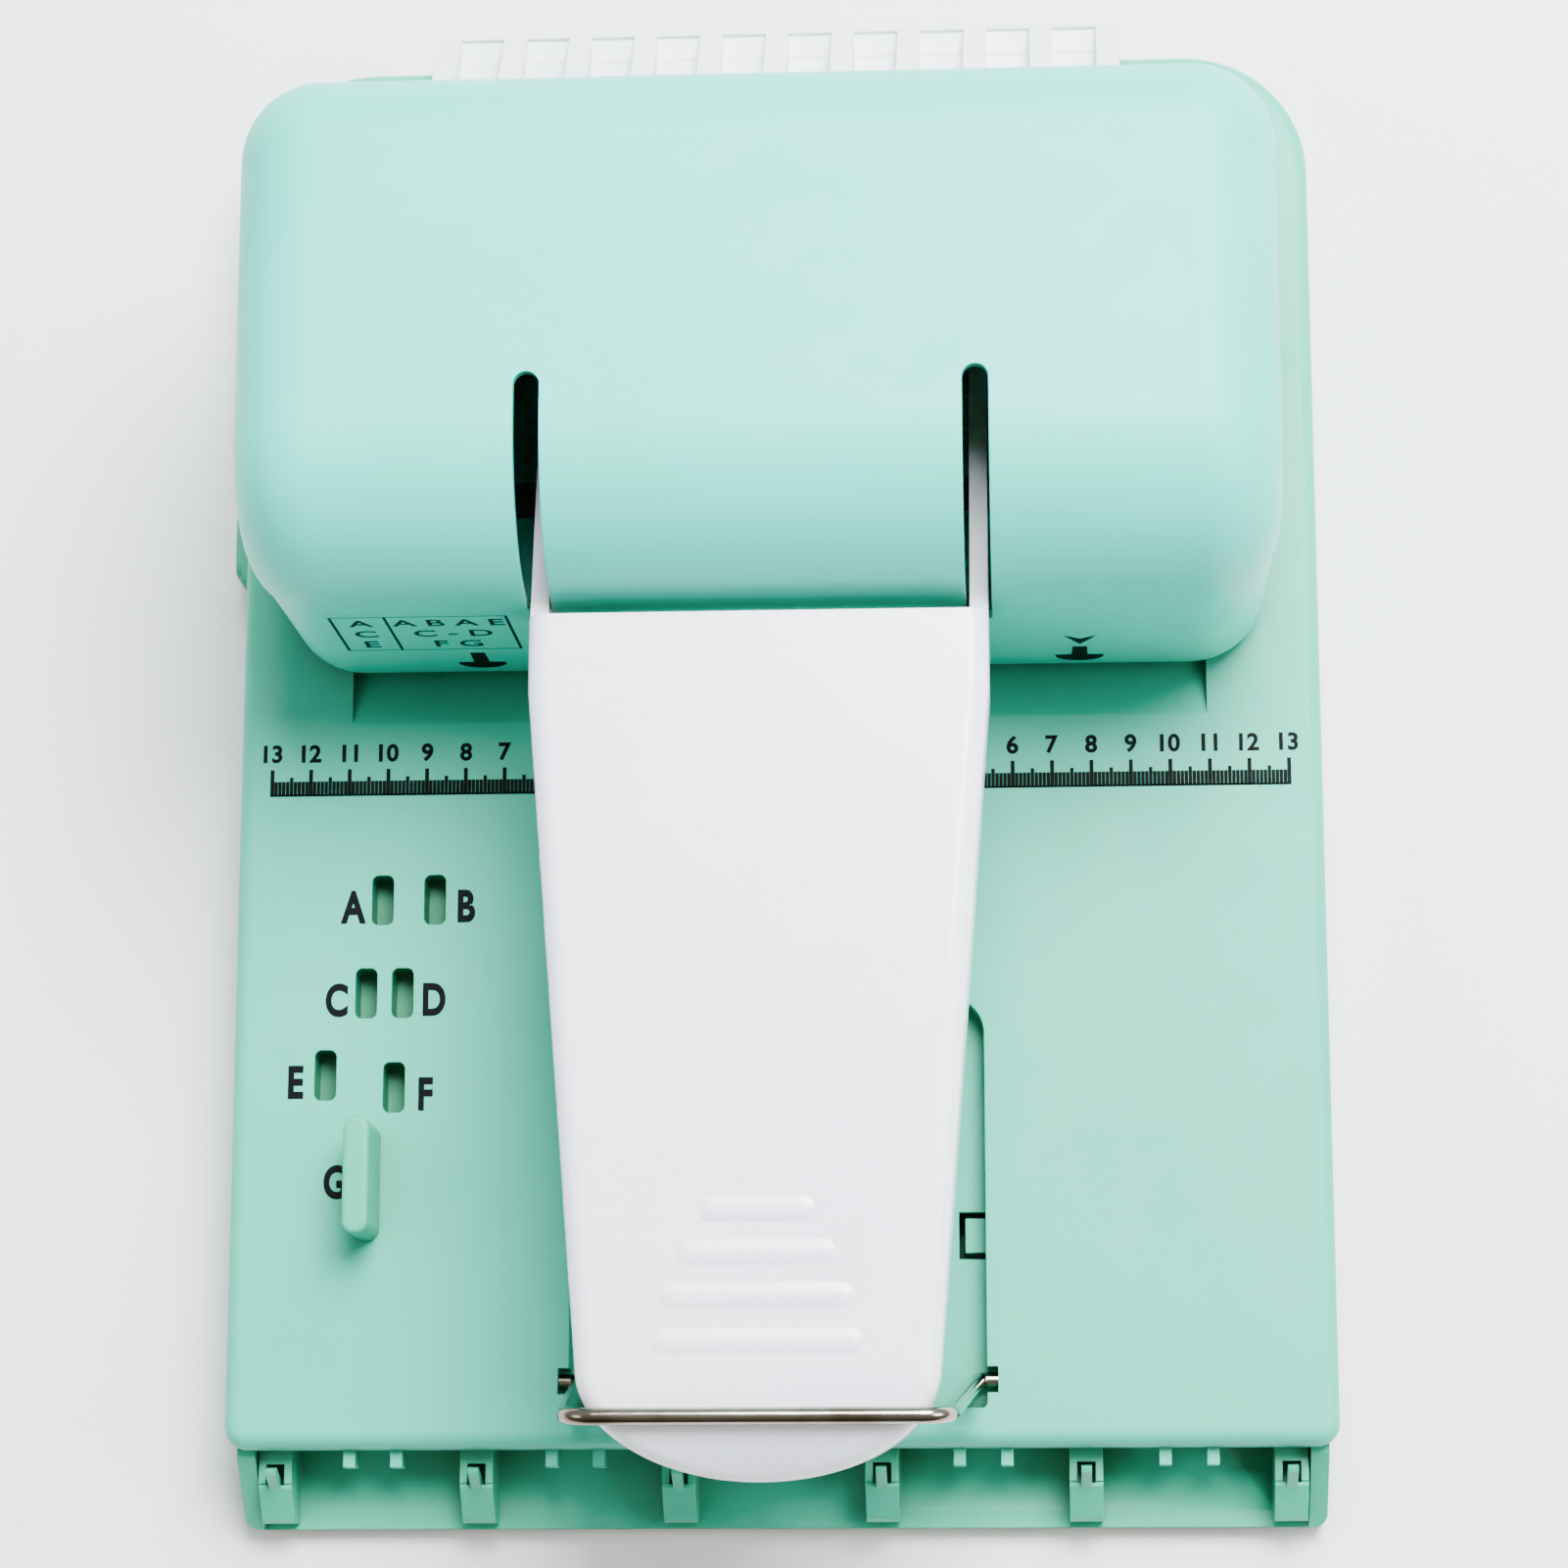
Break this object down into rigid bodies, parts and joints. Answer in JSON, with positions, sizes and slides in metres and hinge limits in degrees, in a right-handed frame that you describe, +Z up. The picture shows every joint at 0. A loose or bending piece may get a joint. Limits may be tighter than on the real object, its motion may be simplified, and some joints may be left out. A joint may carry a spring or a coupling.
{
  "type": "lever paper punch",
  "caption": "Lever punch that cuts mushroom-shaped holes along a sheet's edge for disc binding, with a wire latch bail, ruler deck, side stops and chip drawer.",
  "frame": {"origin": "on the table, at the middle of the punch's outline", "axes": "+Z up, -Y towards the operator, +X to the operator's right"},
  "size_m": [0.2815, 0.3908, 0.14],
  "materials": {
    "mint_plastic": "satin moulded ABS, mint green",
    "white_plastic": "glossy moulded ABS, white",
    "white_coated_steel": "white powder coat",
    "grey_rubber": "moulded rubber",
    "ground_steel": "ground tool steel",
    "zinc_steel": "zinc-plated pressed steel",
    "polished_steel": "polished hardened steel",
    "spring_steel": "oiled spring steel",
    "bronze": "sintered bronze",
    "chrome_wire": "bright nickel-chrome plate"
  },
  "bodies": {
    "base": {"base_shell": "mint_plastic", "base_tray": "mint_plastic", "rubber_feet": "grey_rubber", "base_screws": "zinc_steel", "disc_rack": "mint_plastic", "rack_screws": "zinc_steel", "head_body": "mint_plastic", "head_cover": "mint_plastic", "head_screws": "zinc_steel", "cover_screws": "zinc_steel", "rear_rack": "white_plastic", "die_plate": "ground_steel", "throat_spacer": "ground_steel", "stripper_plate": "ground_steel", "die_screws": "zinc_steel", "stripper_screws": "zinc_steel", "side_frame_left": "zinc_steel", "side_frame_right": "zinc_steel", "frame_screws": "zinc_steel", "guide_pins": "polished_steel", "shaft_bushes": "bronze", "return_springs": "spring_steel"},
    "lever": {"lever_shaft": "polished_steel", "shaft_circlips": "spring_steel", "press_cams": "ground_steel", "cam_pins": "polished_steel", "lever_arm_left": "white_coated_steel", "lever_arm_right": "white_coated_steel", "arm_rivets": "zinc_steel", "lever_frame": "zinc_steel", "lever_shell": "white_plastic", "lever_screws": "zinc_steel"},
    "carrier": {"punch_carrier": "ground_steel", "punches": "polished_steel", "guide_bushes": "bronze"},
    "bail": {"bail_wire": "chrome_wire"},
    "drawer": {"chip_drawer": "mint_plastic", "drawer_pull": "mint_plastic"},
    "stop_peg": {"edge_stop_peg": "mint_plastic"}
  },
  "joints": [
    {"name": "lever_swing", "type": "hinge", "parent": "base", "child": "lever", "pos_m": [0, 0.0974, 0.078], "axis": [-1, 0, 0], "range_deg": [0, 41.5]},
    {"name": "press_slide", "type": "slide", "parent": "base", "child": "carrier", "axis": [0, 0, 1], "range_m": [0, 0.00902], "deforming": ["return_springs"]},
    {"name": "bail_swing", "type": "hinge", "parent": "base", "child": "bail", "pos_m": [0, -0.1602, 0.028], "axis": [1, 0, 0], "range_deg": [0, 25]},
    {"name": "drawer_slide", "type": "slide", "parent": "base", "child": "drawer", "axis": [-1, 0, 0], "range_m": [0, 0.18]},
    {"name": "peg_lift", "type": "slide", "parent": "base", "child": "stop_peg", "axis": [0, 0, 1], "range_m": [0, 0.012]}
  ],
  "couplings": [
    {"joint": "press_slide", "follows": "lever_swing", "m_per_rad": 0.012426}
  ]
}
